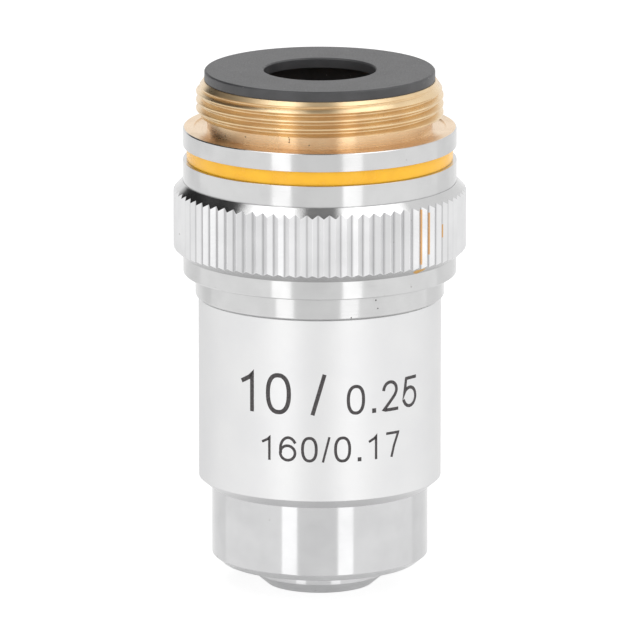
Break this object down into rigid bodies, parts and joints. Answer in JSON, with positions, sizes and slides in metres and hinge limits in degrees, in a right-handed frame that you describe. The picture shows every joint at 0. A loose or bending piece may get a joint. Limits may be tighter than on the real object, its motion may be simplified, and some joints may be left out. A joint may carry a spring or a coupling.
{
  "type": "microscope objective",
  "caption": "Standard-thread microscope objective: brass mounting thread and shoulder, knurled grip, satin sleeve and bright nose with the lenses inside.",
  "frame": {"origin": "centre of the mounting shoulder, on the optical axis, in the plane that seats on the nosepiece", "axes": "+Z along the optical axis from the front lens towards the mounting thread; -Y is the side that carries the figures; +X is to the right when that side is faced with the thread up"},
  "size_m": [0.0242, 0.0242, 0.0432],
  "materials": {
    "plated_brass": "polished",
    "bare_brass": "satin",
    "blackened_brass": "satin",
    "satin_chrome": "satin",
    "bright_chrome": "polished",
    "black_anodised": "satin",
    "yellow_enamel": "gloss",
    "crown_glass": "gloss",
    "flint_glass": "gloss"
  },
  "bodies": {
    "root": {"threaded_mount": "plated_brass", "colour_band": "yellow_enamel", "rear_baffle": "black_anodised", "barrel_sleeve": "satin_chrome", "lens_barrel": "bright_chrome", "parfocal_shims": "bare_brass", "clamp_ring": "bare_brass", "front_cell": "bright_chrome", "front_flint": "flint_glass", "front_crown": "crown_glass", "front_retaining_ring": "blackened_brass", "spacer_tube": "black_anodised", "aperture_stop": "black_anodised", "rear_lens_cell": "blackened_brass", "rear_flint": "flint_glass", "rear_crown": "crown_glass", "rear_retaining_ring": "blackened_brass", "cell_lock_ring": "bare_brass"}
  },
  "joints": []
}
